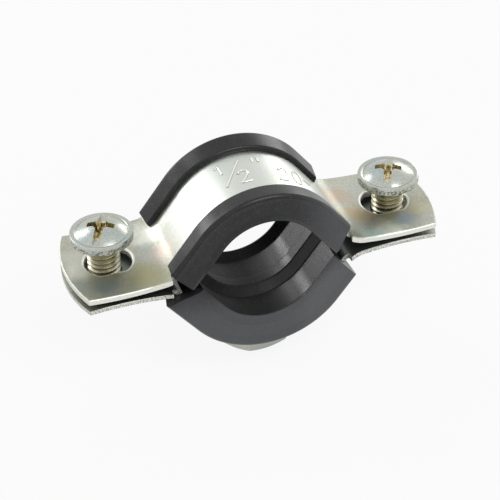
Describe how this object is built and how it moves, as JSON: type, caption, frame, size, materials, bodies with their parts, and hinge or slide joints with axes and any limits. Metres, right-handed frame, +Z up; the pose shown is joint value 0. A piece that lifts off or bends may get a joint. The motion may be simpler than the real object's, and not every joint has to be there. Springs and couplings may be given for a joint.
{
  "type": "rubber lined pipe clamp",
  "caption": "Two-part steel pipe clamp with ribbed rubber lining, domed closing screws through its flat ears and a hexagonal connection nut welded underneath.",
  "frame": {"origin": "on the pipe's axis, at the middle of the clamp's width, in the split between its two halves", "axes": "+Y along the pipe, +X along the ears towards the right-hand screw, +Z up towards the screw heads"},
  "size_m": [0.0678, 0.021, 0.0368],
  "materials": {
    "strap_zinc": "passivated zinc plate with a faint yellow and blue tint",
    "lining_rubber": "matt dark grey moulded rubber",
    "nut_zinc": "zinc plate",
    "screw_zinc": "yellowish zinc plate"
  },
  "bodies": {
    "lower_half": {"lower_strap": "strap_zinc", "lower_lining": "lining_rubber", "connecting_nut": "nut_zinc"},
    "upper_half": {"upper_strap": "strap_zinc", "upper_lining": "lining_rubber"},
    "left_screw_body": {"left_screw": "screw_zinc"},
    "right_screw_body": {"right_screw": "screw_zinc"}
  },
  "joints": [
    {"name": "upper_half_lift", "type": "slide", "parent": "lower_half", "child": "upper_half", "axis": [0, 0, 1], "range_m": [0, 0.025]},
    {"name": "left_screw_travel", "type": "slide", "parent": "upper_half", "child": "left_screw_body", "axis": [0, 0, 1], "range_m": [-0.0048, 0.009]},
    {"name": "right_screw_travel", "type": "slide", "parent": "upper_half", "child": "right_screw_body", "axis": [0, 0, 1], "range_m": [-0.004, 0.009]}
  ]
}
